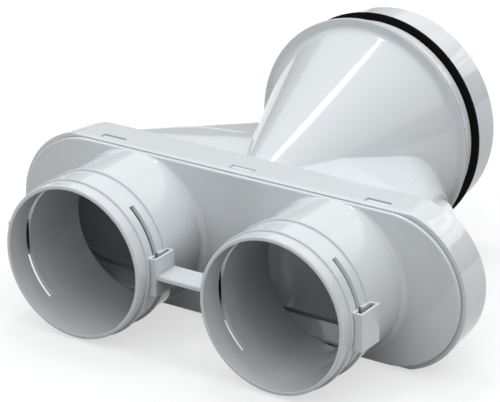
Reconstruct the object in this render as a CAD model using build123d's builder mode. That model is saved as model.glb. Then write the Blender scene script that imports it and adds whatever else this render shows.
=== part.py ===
from build123d import *
import os
from math import sin, cos, radians

os.makedirs("parts", exist_ok=True)

# Axes: x runs across the two spigots, y from the spigot mouths back to the collar, z up.
# z = 0 is the table under the spigot ribs. Depths are measured back from the spigot mouths.
LENGTH = 225.4
MOUTH_Y = -LENGTH / 2

# Spigots, sized from the socket that takes the duct
SOCKET_R = 39.5
SOCKET_DEPTH = 13.6
SPIGOT_WALL = 2.2
STOP_STEP = 1.1
RIB_H = 1.1
NECK_STEP = 0.55
SPIGOT_R = SOCKET_R + SPIGOT_WALL
BORE_R = SOCKET_R - STOP_STEP
RIB_R = SPIGOT_R + RIB_H
NECK_R = SPIGOT_R - NECK_STEP
NECK_START = 25.0
RIB_FRONT = 7.2
RIB_FRONT_W = 1.6
RIB_REAR_W = 2.0
RIB_REAR = NECK_START - RIB_REAR_W

# Clip slots and the pockets that cover their ends
SLOT_GAP = 0.2
SLOT_START = SOCKET_DEPTH + SLOT_GAP
SLOT_W = 3.5
SLOT_ANGLE = 50.0
POCKET_STAND = 4.2
POCKET_OUT = SPIGOT_R + POCKET_STAND
POCKET_START = 9.0
POCKET_LEN = 16.7
POCKET_TOP = 9.1
POCKET_BOTTOM = 11.2
POCKET_WALL = 1.3

# Strap between the two inner pockets, its free span sets the spigots apart
STRAP_SPAN = 28.2
PITCH = 2 * POCKET_OUT + STRAP_SPAN
STRAP_START = 10.0
STRAP_LEN = 16.0
STRAP_T = 1.6
STRAP_LIP = 1.4
STRAP_LIP_T = 2.4

# Front plate, housing outlines and the tongue between them
HOUSING_PLAY = 0.4
HOUSING_IN_R = SOCKET_R + HOUSING_PLAY
PLATE_LAP = 1.4
PLATE_R = HOUSING_IN_R + PLATE_LAP
END_REACH = 31.55
END_X = PITCH / 2 + END_REACH
PLATE_FRONT = 58.2
PLATE_T = 2.6
TONGUE_GAP = 0.3
TONGUE_T = 1.8
TONGUE_LEN = 18.0

# Rear body, a housing whose round ends are cut flat above and below
RIM_FRONT = PLATE_FRONT + PLATE_T
RIM_WALL = 3.95
RIM_CUT = 1.81
RIM_R = HOUSING_IN_R + RIM_WALL
RIM_HALF = RIM_R - RIM_CUT
SIDE_WALL = 1.8
BACK_CUT = 0.15
BACK_R = HOUSING_IN_R + SIDE_WALL
BACK_HALF = BACK_R - BACK_CUT
SPIGOT_Z = max(RIB_R, RIM_HALF)
BACK = 85.3
BACK_WALL = 2.1
WALL = 2.1
BASE = SPIGOT_Z - RIM_HALF

# Snap windows in the housing and the hooks behind them
WINDOW_INSET = 10.95
WINDOW_X = END_X - WINDOW_INSET
WINDOW_W = 14.2
WINDOW_START = 64.9
WINDOW_LEN = 4.4
HOOK_GAP = 0.5
HOOK_BACK_GAP = 1.2
HOOK_SINK = 0.6

# Cone, flange and collar, sized from the collar that enters the duct
COLLAR_R = 59.3
COLLAR_WALL = 3.2
COLLAR_IN_R = COLLAR_R - COLLAR_WALL
COLLAR_RISE = 22.59
COLLAR_Z = SPIGOT_Z + COLLAR_RISE
FLANGE = 185.6
FLANGE_T = 2.4
FLANGE_STAND = 4.6
FLANGE_R = COLLAR_R + FLANGE_STAND
CONE_STEP = 0.7
CONE_R = COLLAR_R - CONE_STEP
CONE_START = 76.0
CONE_RATE = 0.424

# Branch box between the housing and the flange
BOX_STEP = 5.85
BOX_TOP = BACK_HALF - BOX_STEP
FALL = 0.2
FALL_X = 29.6
FALL_Y = 119.9
FALL_TURN = 25.8
FLANK_REACH = 30.95
FLANK_IN_X = END_X + FLANK_REACH
FLANK_RATE = 0.75
SHOULDER_R = 0.56 * BOX_TOP
FOOT_R = 0.68 * BOX_TOP
FOOT_STEP = 2.0
FOOT_LIFT = 12.0

# Seal and its groove
SEAL_RUN = 14.7
SEAL_START = FLANGE + SEAL_RUN
SEAL_W = 2.8
SEAL_SIDE_GAP = 0.2
GROOVE_DEPTH = 1.4
SEAL_STAND = 4.2
GROOVE_R = COLLAR_R - GROOVE_DEPTH
SEAL_R = COLLAR_R + SEAL_STAND


# A plane that faces the spigot side, at a depth behind the mouths
def across(depth, height=SPIGOT_Z, x=0.0):
    return Plane(origin=(x, MOUTH_Y + depth, height), x_dir=(1, 0, 0), z_dir=(0, -1, 0))


# The box between housing and flange, drawn inwards by a wall for its inside
def branch_box(inset, start, end):
    turn = radians(FALL_TURN)
    lean = Vector(FALL * sin(turn), FALL * cos(turn), 1).normalized()
    top = SPIGOT_Z + BOX_TOP - inset
    low = SPIGOT_Z - BACK_HALF + FOOT_STEP + inset
    near = FLANK_IN_X - inset - FLANK_RATE * (start - BACK)
    far = FLANK_IN_X - inset - FLANK_RATE * (end - BACK)
    with BuildPart() as box:
        with BuildSketch(Plane.XY.offset(low - FOOT_STEP)):
            with BuildLine():
                Polyline(
                    (-near, MOUTH_Y + start),
                    (near, MOUTH_Y + start),
                    (far, MOUTH_Y + end),
                    (-far, MOUTH_Y + end),
                    close=True,
                )
            make_face()
        extrude(amount=top - low + FOOT_STEP)
        # the floor lifts towards the flange
        rise = Vector(0, FOOT_LIFT, -(FLANGE - BACK)).normalized()
        split(bisect_by=Plane(origin=(0, MOUTH_Y + BACK, low), z_dir=rise), keep=Keep.BOTTOM)
        long = box.edges().filter_by(lambda e: e.bounding_box().size.Y > (end - start) / 2)
        fillet(long.filter_by(lambda e: e.center().Z > SPIGOT_Z), SHOULDER_R - inset)
        long = box.edges().filter_by(lambda e: e.bounding_box().size.Y > (end - start) / 2)
        fillet(long.filter_by(lambda e: e.center().Z < SPIGOT_Z / 2), FOOT_R - inset)
        # the top falls away from two creases towards the flange and the sides
        for side in (1, -1):
            point = (side * FALL_X, MOUTH_Y + FALL_Y, top)
            normal = (side * lean.X, lean.Y, lean.Z)
            split(bisect_by=Plane(origin=point, z_dir=normal), keep=Keep.BOTTOM)
    return box.part


with BuildPart() as front_plate:
    # plate and the tongue that slides into the housing
    with BuildSketch(across(PLATE_FRONT)):
        SlotCenterToCenter(2 * END_X, 2 * PLATE_R)
    extrude(amount=-PLATE_T)
    tongue_r = HOUSING_IN_R - TONGUE_GAP
    with BuildSketch(across(RIM_FRONT)):
        SlotCenterToCenter(2 * END_X, 2 * tongue_r)
        SlotCenterToCenter(2 * END_X, 2 * (tongue_r - TONGUE_T), mode=Mode.SUBTRACT)
    extrude(amount=-TONGUE_LEN)
    # snap hooks that stand in the housing windows
    hook_len = WINDOW_LEN - HOOK_GAP - HOOK_BACK_GAP
    hook_h = RIM_HALF - HOOK_SINK - tongue_r + 0.5
    for x in (-WINDOW_X, 0, WINDOW_X):
        for side in (1, -1):
            hook_z = SPIGOT_Z + side * (tongue_r - 0.5 + hook_h / 2)
            hook_y = MOUTH_Y + WINDOW_START + HOOK_GAP + hook_len / 2
            with Locations((x, hook_y, hook_z)):
                Box(WINDOW_W - 2 * HOOK_GAP, hook_len, hook_h)
    # spigots with two ribs
    for x in (-PITCH / 2, PITCH / 2):
        with BuildSketch(across(0, x=x)):
            Circle(SPIGOT_R)
        extrude(amount=-NECK_START)
        with BuildSketch(across(NECK_START, x=x)):
            Circle(NECK_R)
        extrude(amount=-(PLATE_FRONT + PLATE_T - NECK_START))
        with BuildSketch(across(RIB_FRONT, x=x)):
            Circle(RIB_R)
        extrude(amount=-RIB_FRONT_W)
        with BuildSketch(across(RIB_REAR, x=x)):
            Circle(RIB_R)
        extrude(amount=-RIB_REAR_W)
    # pockets beside each spigot
    for x in (-PITCH / 2, PITCH / 2):
        height = POCKET_TOP + POCKET_BOTTOM
        middle = SPIGOT_Z + (POCKET_TOP - POCKET_BOTTOM) / 2
        with Locations((x, MOUTH_Y + POCKET_START + POCKET_LEN / 2, middle)):
            Box(2 * POCKET_OUT, POCKET_LEN, height)
    # strap that ties the inner pockets together
    strap_x = PITCH - 2 * POCKET_OUT + 1.0
    strap_y = MOUTH_Y + STRAP_START + STRAP_LEN / 2
    with Locations((0, strap_y, SPIGOT_Z - STRAP_T / 2)):
        Box(strap_x, STRAP_LEN, STRAP_T)
    with Locations((0, MOUTH_Y + STRAP_START + STRAP_LIP / 2, SPIGOT_Z - STRAP_LIP_T / 2)):
        Box(strap_x, STRAP_LIP, STRAP_LIP_T)
    # hollow of each pocket, outside the spigot wall
    for x in (-PITCH / 2, PITCH / 2):
        with BuildSketch(across(POCKET_START + POCKET_WALL, middle, x)):
            Rectangle(2 * (POCKET_OUT - POCKET_WALL), height)
            with Locations((0, SPIGOT_Z - middle)):
                Circle(SPIGOT_R, mode=Mode.SUBTRACT)
        extrude(amount=-(POCKET_LEN - 2 * POCKET_WALL), mode=Mode.SUBTRACT)
    # clip slots through the spigot wall, upper and lower on both sides
    for x in (-PITCH / 2, PITCH / 2):
        for turn in (0, 180):
            with BuildSketch(across(SLOT_START, x=x)):
                with BuildLine():
                    middle_r = (SPIGOT_R + BORE_R) / 2
                    CenterArc((0, 0), middle_r, turn - SLOT_ANGLE, 2 * SLOT_ANGLE)
                trace(line_width=SPIGOT_R - BORE_R + 1)
            extrude(amount=-SLOT_W, mode=Mode.SUBTRACT)
    # bores, a socket with a stop and a narrower throat
    for x in (-PITCH / 2, PITCH / 2):
        with BuildSketch(across(0, x=x)):
            Circle(SOCKET_R)
        extrude(amount=-SOCKET_DEPTH, mode=Mode.SUBTRACT)
        with BuildSketch(across(SOCKET_DEPTH, x=x)):
            Circle(BORE_R)
        extrude(amount=-(PLATE_FRONT + PLATE_T - SOCKET_DEPTH), mode=Mode.SUBTRACT)

front_plate.part.label = "front_plate"
export_step(front_plate.part, "parts/front_plate.step")

with BuildPart() as rear_body:
    # housing that tapers back from its rim
    with BuildSketch(across(RIM_FRONT)):
        SlotCenterToCenter(2 * END_X, 2 * RIM_R)
        Rectangle(400, 2 * RIM_HALF, mode=Mode.INTERSECT)
    with BuildSketch(across(BACK)):
        SlotCenterToCenter(2 * END_X, 2 * BACK_R)
        Rectangle(400, 2 * BACK_HALF, mode=Mode.INTERSECT)
    loft(ruled=True)
    add(branch_box(0.0, BACK - BACK_WALL, FLANGE + FLANGE_T / 2))
    # cone, flange and collar on one axis
    with BuildSketch(across(CONE_START, COLLAR_Z)):
        Circle(CONE_R - CONE_RATE * (FLANGE - CONE_START))
    with BuildSketch(across(FLANGE, COLLAR_Z)):
        Circle(CONE_R)
    loft(ruled=True)
    with BuildSketch(across(FLANGE, COLLAR_Z)):
        Circle(FLANGE_R)
    extrude(amount=-FLANGE_T)
    with BuildSketch(across(FLANGE, COLLAR_Z)):
        Circle(COLLAR_R)
    extrude(amount=-(LENGTH - FLANGE))
    # groove for the seal
    with BuildSketch(across(SEAL_START - SEAL_SIDE_GAP, COLLAR_Z)):
        Circle(COLLAR_R + 2)
        Circle(GROOVE_R, mode=Mode.SUBTRACT)
    extrude(amount=-(SEAL_W + 2 * SEAL_SIDE_GAP), mode=Mode.SUBTRACT)
    # duct path through the housing, the box, the cone and the collar
    with BuildSketch(across(RIM_FRONT)):
        SlotCenterToCenter(2 * END_X, 2 * HOUSING_IN_R)
    extrude(amount=-(BACK - BACK_WALL - RIM_FRONT), mode=Mode.SUBTRACT)
    inside = branch_box(WALL, BACK - 2 * BACK_WALL, FLANGE - WALL)
    add(inside, mode=Mode.SUBTRACT)
    with BuildSketch(across(CONE_START, COLLAR_Z)):
        Circle(CONE_R - CONE_RATE * (FLANGE - CONE_START) - WALL * 1.09)
    with BuildSketch(across(FLANGE + FLANGE_T, COLLAR_Z)):
        Circle(CONE_R + CONE_RATE * FLANGE_T - WALL * 1.09)
    loft(ruled=True, mode=Mode.SUBTRACT)
    with BuildSketch(across(FLANGE, COLLAR_Z)):
        Circle(COLLAR_IN_R)
    extrude(amount=-(LENGTH - FLANGE), mode=Mode.SUBTRACT)
    # snap windows, three above and three below
    for x in (-WINDOW_X, 0, WINDOW_X):
        with Locations((x, MOUTH_Y + WINDOW_START + WINDOW_LEN / 2, SPIGOT_Z)):
            Box(WINDOW_W, WINDOW_LEN, 2 * RIM_HALF + 4, mode=Mode.SUBTRACT)

rear_body.part.label = "rear_body"
export_step(rear_body.part, "parts/rear_body.step")

with BuildPart() as seal_ring:
    # one rubber ring that sits in the groove and stands out as a lip
    with BuildSketch(across(SEAL_START, COLLAR_Z)):
        Circle(SEAL_R)
        Circle(GROOVE_R, mode=Mode.SUBTRACT)
    extrude(amount=-SEAL_W)

seal_ring.part.label = "seal_ring"
export_step(seal_ring.part, "parts/seal_ring.step")
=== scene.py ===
import bpy
import bmesh
import numpy as np
from math import sin, cos, radians, sqrt, asin, dist, pi
from mathutils import Vector, Matrix
from mathutils.geometry import tessellate_polygon


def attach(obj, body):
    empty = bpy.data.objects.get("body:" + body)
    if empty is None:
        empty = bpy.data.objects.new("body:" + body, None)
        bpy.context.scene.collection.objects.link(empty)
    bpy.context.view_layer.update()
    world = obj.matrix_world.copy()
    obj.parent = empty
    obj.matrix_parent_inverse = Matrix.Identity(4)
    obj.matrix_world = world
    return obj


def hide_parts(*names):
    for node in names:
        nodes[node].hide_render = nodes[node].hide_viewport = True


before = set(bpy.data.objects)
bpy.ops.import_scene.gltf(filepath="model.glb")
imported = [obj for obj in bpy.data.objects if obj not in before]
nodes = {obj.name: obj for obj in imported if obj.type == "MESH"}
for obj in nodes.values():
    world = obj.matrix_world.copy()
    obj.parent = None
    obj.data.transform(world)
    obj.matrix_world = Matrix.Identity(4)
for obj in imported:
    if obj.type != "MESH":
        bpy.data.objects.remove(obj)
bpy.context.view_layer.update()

# Sizes in mm. Depths are measured back from the spigot mouths. They are the part's own, apart from
# the bore, the pockets, the flange's edge, the seal and the branch box, which follow the
# photograph more closely.
LENGTH = 225.4
MOUTH_Y = -LENGTH / 2
PITCH = 120.0
RIB_R = 42.8
SPIGOT_Z = RIB_R
SPIGOT_R = 41.7
BORE_R = 39.5
NECK_R = 41.2
NECK_END = 50.0
RIBS = ((7.2, 8.8), (23.0, 25.0))
SLOT = (13.8, 17.3)
SLOT_ANGLE = 50.0
POCKET_OUT = 45.9
POCKET = (9.0, 25.7)
POCKET_Z = (-11.2, 9.1)
POCKET_IN = 40.1
POCKET_WALL = 1.5
POCKET_EDGE = 0.2
POCKET_ROOT = (40.0, 42.5)
ROOT_INSET = 0.3
ROOT_LOW = 0.02
OUTER_POCKET_MORE = 1.1
STRAP = (10.0, 26.0)
STRAP_T = 1.6
STRAP_LIP = 1.4
STRAP_LIP_T = 2.4
STRAP_SINK = 0.4
END_X = 91.55
PLATE_R = 41.3
PLATE_FRONT = 58.2
RIM_FRONT = 60.8
RIM_R = 43.85
RIM_HALF = 42.04
RIM_EDGE = 0.45
BACK_R = 41.7
BACK_HALF = 41.55
BACK = 85.3
BACK_EDGE = 1.1
HOUSING_IN_R = 39.9
HOUSING_MIDDLE = 77.0
WALL = 2.1
TONGUE_GAP = 0.3
TONGUE_IN = 2.1
TONGUE_LEN = 18
WINDOW_X = (-80.6, 0.0, 80.6)
WINDOW_W = 14.2
WINDOW = (64.9, 69.3)
HOOK_SIDE = 0.5
HOOK_FRONT, HOOK_BACK = 0.15, 0.9
HOOK_ROOT, HOOK_TIP = 1.0, 0.6
MIDDLE_SHIFT, MIDDLE_LEFT, MIDDLE_RIGHT = 0.9, 0.3, 0.5
COLLAR_RISE = 22.59
COLLAR_Z = SPIGOT_Z + COLLAR_RISE
FLANGE = 185.6
FLANGE_R = 63.9
FLANGE_T = 2.4
FLANGE_GROOVE = (0.8, 1.4, 1.2)  # front, back and depth of the groove round its edge
CONE_R = 58.6
CONE_RATE = 0.424
COLLAR_R = 59.3
COLLAR_IN_R = 56.1
SEAL = (200.3, 203.1)
SEAL_SIDE_GAP = 0.2
GROOVE_R = 57.9
SEAL_R = 62.7
UNCUT = 99  # past every radius, so that the end arcs stay whole
MM = 0.001


def linear(hexcode):
    """sRGB hex to the linear colour that a shader takes."""
    parts = [int(hexcode[i:i + 2], 16) / 255 for i in (0, 2, 4)]
    parts = [c / 12.92 if c <= 0.04045 else ((c + 0.055) / 1.055) ** 2.4 for c in parts]
    return (*parts, 1.0)


def add(tree, kind, inputs=None, **settings):
    """Adds a node. An input is a value to set or another node's output to link from."""
    node = tree.nodes.new(kind)
    for key, value in settings.items():
        setattr(node, key, value)
    for key, value in (inputs or {}).items():
        if isinstance(value, bpy.types.NodeSocket):
            tree.links.new(value, node.inputs[key])
        else:
            node.inputs[key].default_value = value
    return node


# Shapes
def mesh_object(name, points, faces, slot, slopes=None):
    """Points in mm, in the part's frame. The object stays at the origin, unscaled."""
    mesh = bpy.data.meshes.new(name)
    mesh.from_pydata([tuple(c * MM for c in p) for p in points], [], faces)
    if slopes is None:
        work = bmesh.new()
        work.from_mesh(mesh)
        bmesh.ops.remove_doubles(work, verts=work.verts, dist=1e-6)
        bmesh.ops.recalc_face_normals(work, faces=work.faces)
        work.to_mesh(mesh)
        work.free()
    elif mesh.polygons[0].normal.dot(slopes[mesh.polygons[0].vertices[0]]) < 0:
        mesh.flip_normals()
    mesh.shade_smooth()
    if slopes is not None:
        mesh.normals_split_custom_set_from_vertices(slopes)
    made = bpy.data.objects.new(name, mesh)
    bpy.context.collection.objects.link(made)
    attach(made, "root")
    return made


def stack(rings, closed=True, skip=()):
    """Quads between rings of the same count, as (points, faces)."""
    count, size = len(rings), len(rings[0])
    points = [tuple(p) for ring in rings for p in ring]
    faces = []
    for i in range(count if closed else count - 1):
        j = (i + 1) % count
        for k in range(size):
            if (i, k) in skip:
                continue
            m = (k + 1) % size
            faces.append((i * size + k, i * size + m, j * size + m, j * size + k))
    return points, faces


def flat_face(depth, outline, holes):
    """A face across the depth axis with holes in it, as (points, faces)."""
    loops = [
        [p for i, p in enumerate(loop) if dist(p, loop[i - 1]) > 1e-3]
        for loop in [outline] + holes
    ]
    flat = [[Vector((p[0], p[2], 0)) for p in loop] for loop in loops]
    faces = [tuple(t) for t in tessellate_polygon(flat)]
    points = [(p[0], MOUTH_Y + depth, p[2]) for loop in loops for p in loop]
    return points, faces


def joined(*parts):
    points, faces = [], []
    for some_points, some_faces in parts:
        base = len(points)
        points += list(some_points)
        faces += [tuple(i + base for i in f) for f in some_faces]
    return points, faces


def rounded(profile, steps=4):
    """A profile of (radius, depth, rounding) corners with each corner turned by an arc."""
    out = []
    for i, (r, d, radius) in enumerate(profile):
        if radius <= 0:
            out.append((r, d))
            continue
        here = np.array((r, d))
        before = np.array(profile[i - 1][:2])
        after = np.array(profile[(i + 1) % len(profile)][:2])
        a = (before - here) / np.linalg.norm(before - here)
        b = (after - here) / np.linalg.norm(after - here)
        half = np.arccos(np.clip(a @ b, -1, 1)) / 2
        reach = radius / np.tan(half)
        middle = here + (a + b) / np.linalg.norm(a + b) * radius / np.sin(half)
        start, end = here + a * reach - middle, here + b * reach - middle
        angle = np.arccos(np.clip(start @ end / radius ** 2, -1, 1))
        for t in np.linspace(0, 1, steps + 1):
            w = np.sin((1 - t) * angle) * start + np.sin(t * angle) * end
            out.append(tuple(middle + w / np.sin(angle)))
    return out


def ring(x, z, r, depth, turns):
    return [(x + r * cos(t), MOUTH_Y + depth, z + r * sin(t)) for t in turns]


def soften(thing, weight=60):
    shade = thing.modifiers.new("face weighted shading", "WEIGHTED_NORMAL")
    shade.weight = weight
    shade.keep_sharp = True
    return thing


def prism(name, outline, place, start, end, edge, slot="white_plastic"):
    """A closed outline drawn out from start to end, with rounded edges.

    place turns (p, q, r) into x, y, z.
    """
    work = bmesh.new()
    ends = [[work.verts.new(place(p, q, r)) for p, q in outline] for r in (start, end)]
    work.faces.new(ends[0])
    work.faces.new(ends[1][::-1])
    for i in range(len(outline)):
        j = (i + 1) % len(outline)
        work.faces.new((ends[0][i], ends[1][i], ends[1][j], ends[0][j]))
    bmesh.ops.recalc_face_normals(work, faces=work.faces)
    bmesh.ops.bevel(work, geom=work.edges[:], offset=edge, segments=3, affect="EDGES")
    points = [tuple(v.co) for v in work.verts]
    faces = [tuple(v.index for v in f.verts) for f in work.faces]
    work.free()
    return sharp_at(mesh_object(name, points, faces, slot), 80)


def slab(name, low, high, edge):
    corners = [(low[0], low[1]), (high[0], low[1]), (high[0], high[1]), (low[0], high[1])]
    return prism(name, corners, lambda p, q, r: (p, q, r), low[2], high[2], edge)


# Spigots: one closed wall turned round its axis, with slots through it
TURN_STEP = 1.25
TURNS = np.radians(np.arange(0, 360, TURN_STEP))


def slot_columns():
    """The columns that lie within the slot's angle of either side."""
    columns = []
    for k, t in enumerate(np.degrees(TURNS)):
        middle = t + TURN_STEP / 2
        away = min(abs(middle % 360), abs(middle % 360 - 360), abs(middle % 360 - 180))
        if away < SLOT_ANGLE:
            columns.append(k)
    return columns


def spigot(name, x):
    neck = (NECK_R, NECK_END)
    corners = [(BORE_R, 0.0, 0.4), (SPIGOT_R, 0.0, 1.1)]
    corners += [(SPIGOT_R, RIBS[0][0], 0.2), (RIB_R, RIBS[0][0], 0.35)]
    corners += [(RIB_R, RIBS[0][1], 0.5), (SPIGOT_R, RIBS[0][1], 0.25)]
    corners += [(SPIGOT_R, d, 0) for d in SLOT]
    corners += [(SPIGOT_R, RIBS[1][0], 0.2), (RIB_R, RIBS[1][0], 0.35)]
    corners += [(RIB_R, RIBS[1][1], 0.5), (NECK_R, RIBS[1][1], 0.25)]
    corners += [(*neck, 0), (NECK_R, PLATE_FRONT + 1.0, 0)]
    corners += [(BORE_R, RIM_FRONT, 0.6), (BORE_R, SLOT[1], 0), (BORE_R, SLOT[0], 0)]
    rings, marks = [], {}
    for r, d in rounded(corners, 3):
        for edge in SLOT:
            if abs(d - edge) < 1e-6:
                marks["outer" if r > BORE_R else "inner", edge] = len(rings)
        rings.append(ring(x, SPIGOT_Z, r, d, TURNS))
        if (r, d) == neck:
            rings += foot_rings(x)
    size = len(TURNS)
    o0, o1 = marks["outer", SLOT[0]], marks["outer", SLOT[1]]
    i0, i1 = marks["inner", SLOT[0]], marks["inner", SLOT[1]]
    columns = slot_columns()
    points, faces = stack(rings, True, {(i, k) for k in columns for i in (o0, i1)})
    faces += window_walls(columns, size, o0, o1, i0, i1)
    return sharp_at(mesh_object(name, points, faces, "white_plastic"), 50)


def foot_rings(x, foot=3.0, least=0.05, margin=0.35):
    """The neck turns out to meet the plate, and stays inside the plate's own edge."""
    rings = []
    for t in np.linspace(0, pi / 2, 8):
        points = []
        for turn in TURNS:
            room = (PLATE_R - margin) / max(abs(sin(turn)), 1e-6) - NECK_R
            r = NECK_R + max(least, min(foot, room)) * (1 - cos(t))
            y = MOUTH_Y + PLATE_FRONT - foot + foot * sin(t)
            points.append((x + r * cos(turn), y, SPIGOT_Z + r * sin(turn)))
        rings.append(points)
    return rings


def window_walls(columns, size, o0, o1, i0, i1):
    """Walls round an opening between an outer and an inner skin of the same columns."""
    faces, held = [], set(columns)
    for k in columns:
        m = (k + 1) % size
        faces.append((o0 * size + k, o0 * size + m, i0 * size + m, i0 * size + k))
        faces.append((o1 * size + k, i1 * size + k, i1 * size + m, o1 * size + m))
        if (k - 1) % size not in held:
            faces.append((o0 * size + k, i0 * size + k, i1 * size + k, o1 * size + k))
        if m not in held:
            faces.append((o0 * size + m, o1 * size + m, i1 * size + m, i0 * size + m))
    return faces


def sharp_at(made, degrees):
    """Marks edges sharper than this as sharp, so that slot and window edges stay crisp."""
    work = bmesh.new()
    work.from_mesh(made.data)
    for edge in work.edges:
        if len(edge.link_faces) == 2 and edge.calc_face_angle(0) > radians(degrees):
            edge.smooth = False
    work.to_mesh(made.data)
    work.free()
    return soften(made)


# Housing and plate outlines
def flat_stations(spacing=4.0):
    """Stations along the flat sides, with one at each window's end."""
    marks = sorted({x + s * WINDOW_W / 2 for x in WINDOW_X for s in (-1, 1)} | {-END_X, END_X})
    out = []
    for a, b in zip(marks, marks[1:]):
        n = max(1, round((b - a) / spacing))
        out += [a + (b - a) * i / n for i in range(n)]
    return out + [END_X]


STATIONS = flat_stations()
CORNER_STEPS, ARC_STEPS = 4, 64


def outline(r, half, depth):
    """The round-ended outline: end arcs of radius r, cut flat at plus and minus half."""
    half = min(half, r)
    lift = asin(half / r)
    corner = r * cos(lift)
    top = [(x, half) for x in STATIONS if x > -1e-6]
    top += [(END_X + corner * i / CORNER_STEPS, half) for i in range(1, CORNER_STEPS)]
    arc = [(END_X + r * cos(a), r * sin(a)) for a in np.linspace(lift, -lift, ARC_STEPS + 1)]
    side = top + arc + [(x, -z) for x, z in reversed(top)]
    whole = side + [(-x, z) for x, z in reversed(side[1:-1])]
    return [(x, MOUTH_Y + depth, SPIGOT_Z + z) for x, z in whole]


def housing_ring(depth, inset=0.0):
    """The housing's outside, which tapers from its rim to its back."""
    t = (depth - RIM_FRONT) / (BACK - RIM_FRONT)
    r = RIM_R + (BACK_R - RIM_R) * t - inset
    half = RIM_HALF + (BACK_HALF - RIM_HALF) * t - inset
    return outline(r, half, depth)


# Branch box and cone as one distance rule, cut by rays from the collar axis
BOX_TOP = 35.7
FALL, FALL_X, FALL_Y, FALL_TURN = 0.174, 29.6, 118.4, radians(25.8)
FLANK_IN_X = 124.7
FLANK_RATE = 0.768
SHOULDER_R = 21.0
FOOT_R = 0.68 * BOX_TOP
FOOT_STEP, FOOT_LIFT = 2.0, 12.0
RIDGE = 0.05
CONE_SHARE = 0.9207  # cosine of the cone's half angle
CONE_FILLET, START_FILLET, END_FILLET = 0.5, 1.2, 2.2
RAY_END, HALVINGS = 170.0, 34
SLOPE_STEP = 0.05
BRANCH_STEP = 0.75  # degrees between columns
SKIN_RINGS, INNER_RINGS, END_RINGS = 104, 42, 5
CLEAR = 1.0  # from an end fillet to the first even ring
OFF_PLANE = 0.004  # keeps the end rings off the planes that they meet


def round_cut(a, b, r):
    """Distance to the overlap of two bodies, its edge rounded by r."""
    u, v = np.maximum(r + a, 0), np.maximum(r + b, 0)
    return np.minimum(-r, np.maximum(a, b)) + np.sqrt(u * u + v * v)


def round_join(a, b, r):
    """Distance to two bodies together, the corner between them filled by r."""
    u, v = np.maximum(r - a, 0), np.maximum(r - b, 0)
    return np.maximum(r, np.minimum(a, b)) - np.sqrt(u * u + v * v)


def branch_distance(x, depth, z, inset=0.0):
    """Distances to the box and to the cone."""
    side = np.abs(x)
    up = z - SPIGOT_Z - BOX_TOP + inset
    flank = (side - FLANK_IN_X + FLANK_RATE * (depth - BACK) + inset) / sqrt(1 + FLANK_RATE ** 2)
    lift = FOOT_LIFT / (FLANGE - BACK)
    low = SPIGOT_Z - BACK_HALF + FOOT_STEP + inset + lift * (depth - BACK)
    down = (low - z) / sqrt(1 + lift ** 2)
    along = (side - FALL_X) * sin(FALL_TURN) + (depth - FALL_Y) * cos(FALL_TURN)
    falling = (up + FALL * along) / sqrt(1 + FALL * FALL)
    roof = (up + falling) / 2 + np.sqrt(((up - falling) / 2) ** 2 + RIDGE ** 2)
    shoulder, foot = SHOULDER_R - inset, FOOT_R - inset
    box = np.maximum(round_cut(flank, roof, shoulder), round_cut(flank, down, foot))
    radius = CONE_R - CONE_RATE * (FLANGE - depth)
    cone = (np.sqrt(x * x + (z - COLLAR_Z) ** 2) - radius) * CONE_SHARE + inset
    return box, cone


def skin_distance(x, depth, z, inset, start, end):
    """Distance to box and cone together, filled towards the planes at start and end."""
    box, cone = branch_distance(x, depth, z, inset)
    d = round_join(box, cone, CONE_FILLET)
    if start:
        d = round_join(d, depth - start, START_FILLET)
    if end:
        d = round_join(d, end - depth, END_FILLET)
    return d


def branch_rings(depths, turns, inset=0.0, start=None, end=None):
    """Rings of points where rays from the collar axis leave the rule, and its slopes there."""
    rest = (inset, start, end)
    grid_d, grid_t = np.meshgrid(depths, turns, indexing="ij")
    low, high = np.zeros_like(grid_d), np.full_like(grid_d, RAY_END)
    for _ in range(HALVINGS):
        mid = (low + high) / 2
        x, z = mid * np.cos(grid_t), COLLAR_Z + mid * np.sin(grid_t)
        d = skin_distance(x, grid_d, z, *rest)
        low, high = np.where(d < 0, mid, low), np.where(d < 0, high, mid)
    place = [low * np.cos(grid_t), grid_d, COLLAR_Z + low * np.sin(grid_t)]
    slopes = []
    for axis in range(3):
        ahead, behind = [list(place) for _ in range(2)]
        ahead[axis], behind[axis] = place[axis] + SLOPE_STEP, place[axis] - SLOPE_STEP
        slopes.append(skin_distance(*ahead, *rest) - skin_distance(*behind, *rest))
    slopes = np.stack(slopes, -1)
    slopes /= np.linalg.norm(slopes, axis=-1, keepdims=True)
    place[1] = place[1] + MOUTH_Y
    return np.stack(place, -1).tolist(), slopes.reshape(-1, 3).tolist()


def window_columns(row):
    """The columns of a housing ring that lie in a window, on top and underneath."""
    columns = []
    for k, (x0, _, z0) in enumerate(row):
        x1, _, z1 = row[(k + 1) % len(row)]
        level = abs(abs(z0 - SPIGOT_Z) - abs(z1 - SPIGOT_Z)) < 1e-6
        inside = any(abs((x0 + x1) / 2 - x) < WINDOW_W / 2 for x in WINDOW_X)
        if abs(x0 - x1) > 1e-3 and level and inside:
            columns.append(k)
    return columns


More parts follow.
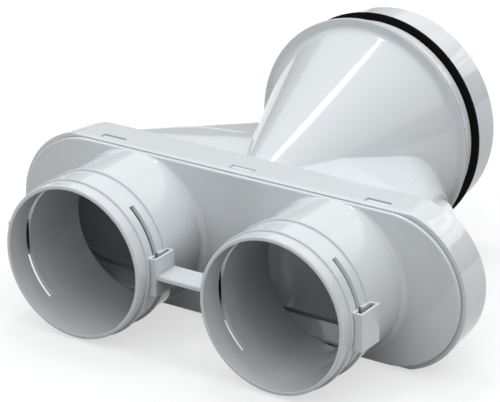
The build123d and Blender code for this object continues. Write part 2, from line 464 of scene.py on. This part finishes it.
def flange_and_collar(turns):
    """Rings from the cone over the flange's edge and the seal's groove to the collar's inside."""
    front, back, sunk = FLANGE_GROOVE
    ahead, behind = SEAL[0] - SEAL_SIDE_GAP, SEAL[1] + SEAL_SIDE_GAP
    turned = rounded([
        (FLANGE_R - 4.0, FLANGE, 0), (FLANGE_R, FLANGE, 0.35),
        (FLANGE_R, FLANGE + front, 0.1), (FLANGE_R - sunk, FLANGE + front, 0),
        (FLANGE_R - sunk, FLANGE + back, 0), (FLANGE_R, FLANGE + back, 0.1),
        (FLANGE_R, FLANGE + FLANGE_T, 0.35), (COLLAR_R, FLANGE + FLANGE_T, 0.4),
        (COLLAR_R, ahead, 0.2), (GROOVE_R, ahead, 0), (GROOVE_R, behind, 0),
        (COLLAR_R, behind, 0.2), (COLLAR_R, LENGTH, 0.9),
        (COLLAR_IN_R, LENGTH, 0.7), (COLLAR_IN_R, FLANGE + 1.5, 0),
    ], 3)
    return [ring(0, COLLAR_Z, r, d, turns) for r, d in turned]


def rear_body():
    turns = np.radians(np.arange(0, 360, BRANCH_STEP) + BRANCH_STEP / 2)
    # rings stand close together at both ends, where the skin turns out to meet its neighbours
    ease = np.linspace(0, 1, END_RINGS) * pi / 2
    even = (BACK + (START_FILLET + CLEAR), FLANGE - (END_FILLET + CLEAR))
    depths = list(BACK + START_FILLET * (1 - np.cos(ease)) + OFF_PLANE)
    depths += list(np.linspace(*even, SKIN_RINGS))
    depths += list(FLANGE - END_FILLET * (1 - np.sin(ease)) - OFF_PLANE)
    skin, slopes = branch_rings(depths, turns, 0.0, BACK, FLANGE)
    branch = mesh_object("branch_skin", *stack(skin, closed=False), "white_plastic", slopes)
    collar = flange_and_collar(turns)
    inner_depths = np.linspace(FLANGE + 0.3, BACK - WALL, INNER_RINGS)
    inner, _ = branch_rings(inner_depths, turns, WALL)
    shell = stack([skin[-1]] + collar + inner, closed=False)
    # housing: inner wall from back to rim, then outer wall from rim to its rounded back edge
    back_inner = BACK - WALL
    inside_depths = (back_inner, HOUSING_MIDDLE, WINDOW[1], WINDOW[0], RIM_FRONT)
    inside = [outline(HOUSING_IN_R, HOUSING_IN_R, d) for d in inside_depths]
    outer = [housing_ring(RIM_FRONT, RIM_EDGE), housing_ring(RIM_FRONT + 0.12, 0.15)]
    outer += [housing_ring(RIM_FRONT + RIM_EDGE)]
    outer += [housing_ring(d) for d in (WINDOW[0], WINDOW[1], HOUSING_MIDDLE)]
    for t in np.linspace(0, 1, 5):
        depth = BACK - BACK_EDGE + BACK_EDGE * sin(t * pi / 2)
        outer.append(housing_ring(depth, BACK_EDGE * (1 - cos(t * pi / 2))))
    columns = window_columns(outer[3])
    i1, i0 = 2, 3
    o0, o1 = len(inside) + 3, len(inside) + 4
    skip = {(i, k) for k in columns for i in (o0, i1)}
    points, faces = stack(inside + outer, False, skip)
    faces += window_walls(columns, len(outer[0]), o0, o1, i0, i1)
    back = flat_face(BACK, outer[-1], [skin[0]])
    wall = flat_face(back_inner, inside[0], [inner[-1]])
    first = [(p[0], MOUTH_Y + BACK, p[2]) for p in skin[0]]
    join = stack([first, skin[0]], closed=False)
    parts = joined(shell, (points, faces), back, wall, join)
    made = mesh_object("rear_body_shell", *parts, "white_plastic")
    return [sharp_at(made, 50), branch]


def front_plate():
    edge = 0.9
    rows = []
    for t in np.linspace(0, 1, 6):
        r = PLATE_R - edge * (1 - sin(t * pi / 2))
        rows.append(outline(r, UNCUT, PLATE_FRONT + edge * (1 - cos(t * pi / 2))))
    # a step in the plate's back edge, which leaves the dark line before the rim, then the tongue
    tongue_out, tongue_in = HOUSING_IN_R - TONGUE_GAP, HOUSING_IN_R - TONGUE_IN
    profile = (
        (PLATE_R, 59.6), (PLATE_R, RIM_FRONT - 0.75),
        (PLATE_R - 0.2, RIM_FRONT - 0.6), (PLATE_R - 0.75, RIM_FRONT - 0.6),
        (PLATE_R - 0.8, RIM_FRONT), (tongue_out, RIM_FRONT),
        (tongue_out, RIM_FRONT + TONGUE_LEN), (tongue_in, RIM_FRONT + TONGUE_LEN),
        (tongue_in, RIM_FRONT),
    )
    rows += [outline(r, UNCUT, d) for r, d in profile]
    hole_r = BORE_R + 0.9
    holes = [ring(x, SPIGOT_Z, hole_r, PLATE_FRONT, TURNS[::2]) for x in (-PITCH / 2, PITCH / 2)]
    front = flat_face(PLATE_FRONT, rows[0], holes)
    rear = flat_face(RIM_FRONT, rows[-1], holes)
    parts = joined(stack(rows, closed=False), front, rear)
    made = mesh_object("front_plate_shell", *parts, "white_plastic")
    return sharp_at(made, 40)


# Thin bead across each falling face of the branch box: x, depth, z of the right one, which the
# left one mirrors
BEAD = (
    (37.2, 127.4, 76.5), (47.2, 126.9, 75.8), (55.4, 126.3, 75.3), (61.1, 125.7, 74.9),
    (66.2, 125.1, 74.6), (69.8, 121.8, 74.9), (74.7, 116.7, 75.3), (78.2, 113.4, 75.6),
)


def bead_tree():
    """A round rod along a polyline, its corners turned by a radius, its ends fading out."""
    tree = bpy.data.node_groups.new("bead along a path", "GeometryNodeTree")
    face = tree.interface
    face.new_socket("Path", in_out="INPUT", socket_type="NodeSocketGeometry")
    for name in ("Rod radius", "Corner radius", "Spacing"):
        face.new_socket(name, in_out="INPUT", socket_type="NodeSocketFloat")
    face.new_socket("Material", in_out="INPUT", socket_type="NodeSocketMaterial")
    face.new_socket("Rod", in_out="OUTPUT", socket_type="NodeSocketGeometry")
    given = add(tree, "NodeGroupInput").outputs
    curve = add(tree, "GeometryNodeMeshToCurve", {"Mesh": given["Path"]})
    turned = add(tree, "GeometryNodeFilletCurve", {
        "Curve": curve.outputs["Curve"], "Radius": given["Corner radius"], "Count": 6,
    }, mode="POLY")
    even = add(tree, "GeometryNodeResampleCurve", {
        "Curve": turned.outputs["Curve"], "Length": given["Spacing"],
    }, mode="LENGTH")
    along = add(tree, "GeometryNodeSplineParameter")
    fade = add(tree, "ShaderNodeFloatCurve", {"Value": along.outputs["Factor"]})
    points = fade.mapping.curves[0].points
    points[0].location, points[1].location = (0.0, 0.25), (1.0, 0.1)
    points.new(0.2, 1.0)
    points.new(0.75, 1.0)
    rod = add(tree, "GeometryNodeCurvePrimitiveCircle", {
        "Resolution": 10, "Radius": given["Rod radius"],
    })
    sweep = add(tree, "GeometryNodeCurveToMesh", {
        "Curve": even.outputs["Curve"], "Profile Curve": rod.outputs["Curve"],
        "Scale": fade.outputs["Value"], "Fill Caps": True,
    })
    smooth = add(tree, "GeometryNodeSetShadeSmooth", {"Geometry": sweep.outputs["Mesh"]})
    real = add(tree, "GeometryNodeRealizeInstances", {"Geometry": smooth.outputs["Geometry"]})
    coat = add(tree, "GeometryNodeSetMaterial", {
        "Geometry": real.outputs["Geometry"], "Material": given["Material"],
    })
    add(tree, "NodeGroupOutput", {"Rod": coat.outputs["Geometry"]})
    return tree


def swept(name, path, rod=0.6, corner=3.0, spacing=0.5, sunk=0.2):
    """The path in mm turned into a plain mesh by the bead tree, sunk a little into the face."""
    mesh = bpy.data.meshes.new(name + "_path")
    points = [(x * MM, (MOUTH_Y + d) * MM, (z - sunk) * MM) for x, d, z in path]
    mesh.from_pydata(points, [(i, i + 1) for i in range(len(points) - 1)], [])
    guide = bpy.data.objects.new(name + "_path", mesh)
    bpy.context.collection.objects.link(guide)
    tree = bpy.data.node_groups.get("bead along a path") or bead_tree()
    grow = guide.modifiers.new("bead", "NODES")
    grow.node_group = tree
    sizes = {"Rod radius": rod * MM, "Corner radius": corner * MM, "Spacing": spacing * MM}
    for socket in tree.interface.items_tree:
        if socket.name in sizes and socket.in_out == "INPUT":
            grow[socket.identifier] = sizes[socket.name]
    view = bpy.context.evaluated_depsgraph_get()
    made = bpy.data.objects.new(name, bpy.data.meshes.new_from_object(guide.evaluated_get(view)))
    made.data.materials.clear()
    bpy.context.collection.objects.link(made)
    bpy.data.objects.remove(guide)
    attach(made, "root")
    return made


def seal():
    """The lip's profile leans back, as the photograph shows it."""
    turns = np.radians(np.arange(0, 360, 1.0))
    root = COLLAR_R + 0.3
    profile = rounded([
        (GROOVE_R, SEAL[0] + 0.4, 0), (root, SEAL[0] + 0.8, 0.3),
        (SEAL_R, SEAL[0] + 1.9, 0.35), (SEAL_R, SEAL[1] + 0.3, 0.35),
        (root, SEAL[1], 0.3), (GROOVE_R, SEAL[1], 0),
    ], 3)
    rings = [ring(0, COLLAR_Z, r, d, turns) for r, d in profile]
    made = mesh_object("seal_lip", *stack(rings), "seal_rubber")
    return soften(made)


def pocket(side, x, hand):
    """One clip pocket, open above and below, and its roots before and behind the slot."""
    where = "outer" if hand * x > 0 else "inner"
    y0, y1 = MOUTH_Y + POCKET[0], MOUTH_Y + POCKET[1]
    z0, z1 = SPIGOT_Z + POCKET_Z[0], SPIGOT_Z + POCKET_Z[1]
    # the two outer pockets stand out further than the two that the strap ties together
    out = POCKET_OUT + (OUTER_POCKET_MORE if where == "outer" else 0.0)
    walls = [(POCKET_IN, y0), (out, y0), (out, y1), (POCKET_IN, y1)]
    walls += [(POCKET_IN, y1 - POCKET_WALL), (out - POCKET_WALL, y1 - POCKET_WALL)]
    walls += [(out - POCKET_WALL, y0 + POCKET_WALL), (POCKET_IN, y0 + POCKET_WALL)]
    walls = [(x + hand * p, q) for p, q in walls]
    name = f"{side}_{where}_pocket"
    made = [prism(name, walls, lambda p, q, r: (p, q, r), z0, z1, POCKET_EDGE)]
    near, far = sorted(x + hand * r for r in POCKET_ROOT)
    front = ("front", y0 + ROOT_INSET, MOUTH_Y + SLOT[0])
    rear = ("rear", MOUTH_Y + SLOT[1], y1 - ROOT_INSET)
    for part, start, end in (front, rear):
        low, high = (near, start, z0 + ROOT_LOW), (far, end, z1 - ROOT_LOW)
        made.append(slab(f"{name}_{part}_root", low, high, POCKET_EDGE))
    return made


def strap():
    """The strap between the two inner pockets, with a deeper lip along its front edge."""
    reach = PITCH / 2 - POCKET_OUT + STRAP_SINK
    y0, y1 = MOUTH_Y + STRAP[0], MOUTH_Y + STRAP[1]
    section = [(y0, -STRAP_LIP_T), (y0 + STRAP_LIP, -STRAP_LIP_T), (y0 + STRAP_LIP, -STRAP_T)]
    section += [(y1, -STRAP_T), (y1, 0.0), (y0, 0.0)]
    section = [(q, SPIGOT_Z + r) for q, r in section]
    return prism("strap", section, lambda q, r, p: (p, q, r), -reach, reach, 0.35)


def hook(i, x, name, up):
    """The tip of a snap hook in its window. The middle ones sit further back."""
    z0, z1 = sorted((
        SPIGOT_Z + up * (HOUSING_IN_R - HOOK_ROOT), SPIGOT_Z + up * (RIM_HALF - HOOK_TIP),
    ))
    shift, left, right = (MIDDLE_SHIFT, MIDDLE_LEFT, MIDDLE_RIGHT) if i == 1 else (0.0, 0.0, 0.0)
    y0, y1 = MOUTH_Y + WINDOW[0] + HOOK_FRONT, MOUTH_Y + WINDOW[1] - HOOK_BACK
    low = (x - WINDOW_W / 2 + HOOK_SIDE - left, y0 + shift, z0)
    high = (x + WINDOW_W / 2 - HOOK_SIDE - right, y1 + shift, z1)
    return slab(f"hook_{name}_{i + 1}", low, high, 0.25)


plate_pieces = [front_plate()]
for side, x in (("left", -PITCH / 2), ("right", PITCH / 2)):
    plate_pieces.append(spigot(f"{side}_spigot", x))
    for hand in (-1, 1):
        plate_pieces += pocket(side, x, hand)
plate_pieces.append(strap())
for i, x in enumerate(WINDOW_X):
    for name, up in (("top", 1), ("under", -1)):
        plate_pieces.append(hook(i, x, name, up))
body_pieces = rear_body()
for side, hand in (("left", -1), ("right", 1)):
    body_pieces.append(swept(f"{side}_bead", [(hand * x, d, z) for x, d, z in BEAD]))
seal_piece = seal()
for piece in plate_pieces:
    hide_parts("front_plate")
for piece in body_pieces:
    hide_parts("rear_body")
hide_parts("seal_ring")


# Materials
FLOW_SCALE = 60.0  # soft clouds about 17 mm across, from the flow of the melt
GRAIN_SCALE = 900.0  # about 1.1 mm: the real texture is too fine to show, so it is drawn coarser
GRAIN_HEIGHT = 0.00002
DULL, DULLER = 0.9, 1.15
# Painted shade: the plastic's colour is darkened in deep hollows, where ambient occlusion sees
# little open sky.
HOLLOW_REACH = 0.12
HOLLOW_SKY = (0.03, 0.35)  # share of open sky where darkening is full, and where it ends


def painted_hollow_shade(tree, colour, hollow_shade):
    """The colour with painted shade: darker where little of the surroundings is seen, as deep
    hollows lose light.
    """
    sky = add(tree, "ShaderNodeAmbientOcclusion", {"Distance": HOLLOW_REACH}, only_local=False)
    share = add(tree, "ShaderNodeMapRange", {
        "Value": sky.outputs["AO"], "From Min": HOLLOW_SKY[0], "From Max": HOLLOW_SKY[1],
        "To Min": hollow_shade, "To Max": 1.0,
    })
    painted_shade = add(tree, "ShaderNodeVectorMath", {
        0: linear(colour)[:3], "Scale": share.outputs["Result"],
    }, operation="SCALE")
    return painted_shade.outputs["Vector"]


def moulded(name, colour, rough, grain, shine=0.5, hollow_shade=1.0):
    """An injection-moulded surface: one even colour, darkened by painted shade in deep hollows
    unless the hollow factor is 1; roughness in soft clouds, faint grain.
    """
    mat = bpy.data.materials.new(name)
    mat.use_nodes = True
    tree = mat.node_tree
    shader = tree.nodes["Principled BSDF"]
    shader.inputs["Base Color"].default_value = linear(colour)
    # painted shade: the base colour darkens in deep hollows
    if hollow_shade < 1:
        tree.links.new(painted_hollow_shade(tree, colour, hollow_shade), shader.inputs["Base Color"])
    shader.inputs["IOR"].default_value = 1.5
    shader.inputs["Specular IOR Level"].default_value = shine
    place = add(tree, "ShaderNodeTexCoord").outputs["Object"]
    cloud = add(tree, "ShaderNodeTexNoise", {"Vector": place, "Scale": FLOW_SCALE, "Detail": 3.0})
    band = add(tree, "ShaderNodeMapRange", {
        "Value": cloud.outputs["Fac"], "To Min": rough * DULL, "To Max": rough * DULLER,
    })
    tree.links.new(band.outputs["Result"], shader.inputs["Roughness"])
    fine = add(tree, "ShaderNodeTexNoise", {"Vector": place, "Scale": GRAIN_SCALE, "Detail": 2.0})
    bump = add(tree, "ShaderNodeBump", {
        "Height": fine.outputs["Fac"], "Strength": grain, "Distance": GRAIN_HEIGHT,
    })
    tree.links.new(bump.outputs["Normal"], shader.inputs["Normal"])
    return mat


# ABS from a polished tool: a cool white with crisp, bright reflections, and painted shade that
# darkens its colour in deep hollows
white = moulded("white ABS, glossy moulding, shade painted in hollows", "dcdfe1", 0.07, 0.06, hollow_shade=0.45)
# rubber from a matt tool: deep black, with hardly a reflection
rubber = moulded("black rubber, moulded lip seal", "030303", 0.6, 0.5, 0.12)
for thing in plate_pieces + body_pieces + [nodes["front_plate"], nodes["rear_body"]]:
    thing.data.materials.clear()
    thing.data.materials.append(white)
for thing in (seal_piece, nodes["seal_ring"]):
    thing.data.materials.clear()
    thing.data.materials.append(rubber)


def seen_by_eye(tree):
    """1 for rays that reach the eye straight, by reflection or through glass."""
    rays = add(tree, "ShaderNodeLightPath").outputs
    first = add(tree, "ShaderNodeMath", {
        0: rays["Is Camera Ray"], 1: rays["Is Glossy Ray"],
    }, operation="MAXIMUM")
    second = add(tree, "ShaderNodeMath", {
        0: first.outputs[0], 1: rays["Is Transmission Ray"],
    }, operation="MAXIMUM")
    return second.outputs[0]


# Floor of white paper: the camera and reflections see it white with a light shadow,
# and it throws back only part of the light
FLOOR_HALF = 6
FLOOR_DROP = 0.0005
SHADOW_SHARE = 0.38
BOUNCE = 0.38
floor_mesh = bpy.data.meshes.new("floor")
corners = [(-FLOOR_HALF, -FLOOR_HALF, 0), (FLOOR_HALF, -FLOOR_HALF, 0)]
corners += [(FLOOR_HALF, FLOOR_HALF, 0), (-FLOOR_HALF, FLOOR_HALF, 0)]
floor_mesh.from_pydata(corners, [], [(0, 1, 2, 3)])
floor = bpy.data.objects.new("floor", floor_mesh)
floor.location.z = -FLOOR_DROP
bpy.context.collection.objects.link(floor)
paper = bpy.data.materials.new("white studio paper")
paper.use_nodes = True
tree = paper.node_tree
tree.nodes.clear()
shade = add(tree, "ShaderNodeBsdfDiffuse", {"Color": (1.0, 1.0, 1.0, 1.0)})
glow = add(tree, "ShaderNodeEmission", {"Color": (1.0, 1.0, 1.0, 1.0), "Strength": 1.0})
pale = add(tree, "ShaderNodeMixShader", {
    "Fac": 1 - SHADOW_SHARE, 1: shade.outputs[0], 2: glow.outputs[0],
})
bounce = add(tree, "ShaderNodeBsdfDiffuse", {"Color": (BOUNCE, BOUNCE, BOUNCE, 1.0)})
pick = add(tree, "ShaderNodeMixShader", {
    "Fac": seen_by_eye(tree), 1: bounce.outputs[0], 2: pale.outputs[0],
})
add(tree, "ShaderNodeOutputMaterial", {"Surface": pick.outputs[0]})
floor_mesh.materials.append(paper)

# World: a dark studio up to 21 degrees above the floor, a bright tent over it
DARK, TENT_LOW, TENT_TOP = 0.10, 0.95, 1.35
COOL = (0.97, 0.985, 1.0)
world = bpy.data.worlds.new("studio")
bpy.context.scene.world = world
world.use_nodes = True
tree = world.node_tree
tree.nodes.clear()
place = add(tree, "ShaderNodeTexCoord")
height = add(tree, "ShaderNodeSeparateXYZ", {0: place.outputs["Generated"]})
dome = add(tree, "ShaderNodeValToRGB", {"Fac": height.outputs["Z"]})
light = add(tree, "ShaderNodeBackground", {
    "Color": dome.outputs["Color"], "Strength": TENT_TOP,
})
add(tree, "ShaderNodeOutputWorld", {"Surface": light.outputs["Background"]})
# each step is the sine of the height above the horizon, and the light there
steps = ((0.35, DARK), (0.40, TENT_LOW), (1.0, TENT_TOP))
dome.color_ramp.elements.new(0.5)
for element, (sine, level) in zip(dome.color_ramp.elements, steps):
    grey = level / TENT_TOP
    element.position = sine
    element.color = (*(c * grey for c in COOL), 1.0)


def lamp(name, place, aim, size, watts, depth=None):
    data = bpy.data.lights.new(name, "AREA")
    data.shape = "RECTANGLE"
    data.size, data.size_y = size, depth or size
    data.energy = watts
    made = bpy.data.objects.new(name, data)
    made.location = place
    made.rotation_mode = "QUATERNION"
    made.rotation_quaternion = (Vector(aim) - Vector(place)).to_track_quat("-Z", "Y")
    bpy.context.collection.objects.link(made)
    return made


OBJECT = (0, 0, 0.05)
lamp("overhead lamp", (-0.35, 0.34, 1.85), OBJECT, 0.30, 4.0)
lamp("right strip", (1.7, -0.3, 0.8), OBJECT, 0.12, 2.0, depth=1.0)
# softboxes in rows behind the object, seen only in the gloss of the collar and the housing
BANK_X, BANK_Y, BANK_WIDTH = 0.88, 3.0, 1.75
BANKS = ((1.15, 1.44, 2.1), (1.49, 1.62, 2.1), (1.68, 1.81, 2.1), (1.95, 3.0, 0.6))
for row, (foot, head, level) in enumerate(BANKS):
    middle = (foot + head) / 2
    watts = level * pi * BANK_WIDTH * (head - foot)
    place, aim = (BANK_X, BANK_Y, middle), (BANK_X, 0, middle)
    bank = lamp(f"bank {row + 1}", place, aim, BANK_WIDTH, watts, depth=head - foot)
    bank.visible_diffuse = False

# Camera, solved from the photograph
FOCAL_PIXELS, FRAME_PIXELS, SENSOR = 2968.7, 500, 36.0
EYE = (0.77390, -1.21361, 0.65603)
turn, tilt, roll = radians(33.346), radians(22.825), radians(-0.325)
forward = Vector((-sin(turn) * cos(tilt), cos(turn) * cos(tilt), -sin(tilt)))
right = Vector((cos(turn), sin(turn), 0))
up = right.cross(forward)
right, up = right * cos(roll) + up * sin(roll), up * cos(roll) - right * sin(roll)
camera_data = bpy.data.cameras.new("camera")
camera_data.sensor_width = SENSOR
camera_data.lens = FOCAL_PIXELS / FRAME_PIXELS * SENSOR
camera_data.shift_x, camera_data.shift_y = -0.0025, 0.0018
camera_data.clip_start, camera_data.clip_end = 0.05, 50
camera = bpy.data.objects.new("camera", camera_data)
camera.matrix_world = Matrix((
    (right.x, up.x, -forward.x, EYE[0]),
    (right.y, up.y, -forward.y, EYE[1]),
    (right.z, up.z, -forward.z, EYE[2]),
    (0, 0, 0, 1),
))
bpy.context.collection.objects.link(camera)
bpy.context.scene.camera = camera
bpy.context.scene.view_settings.view_transform = "Standard"
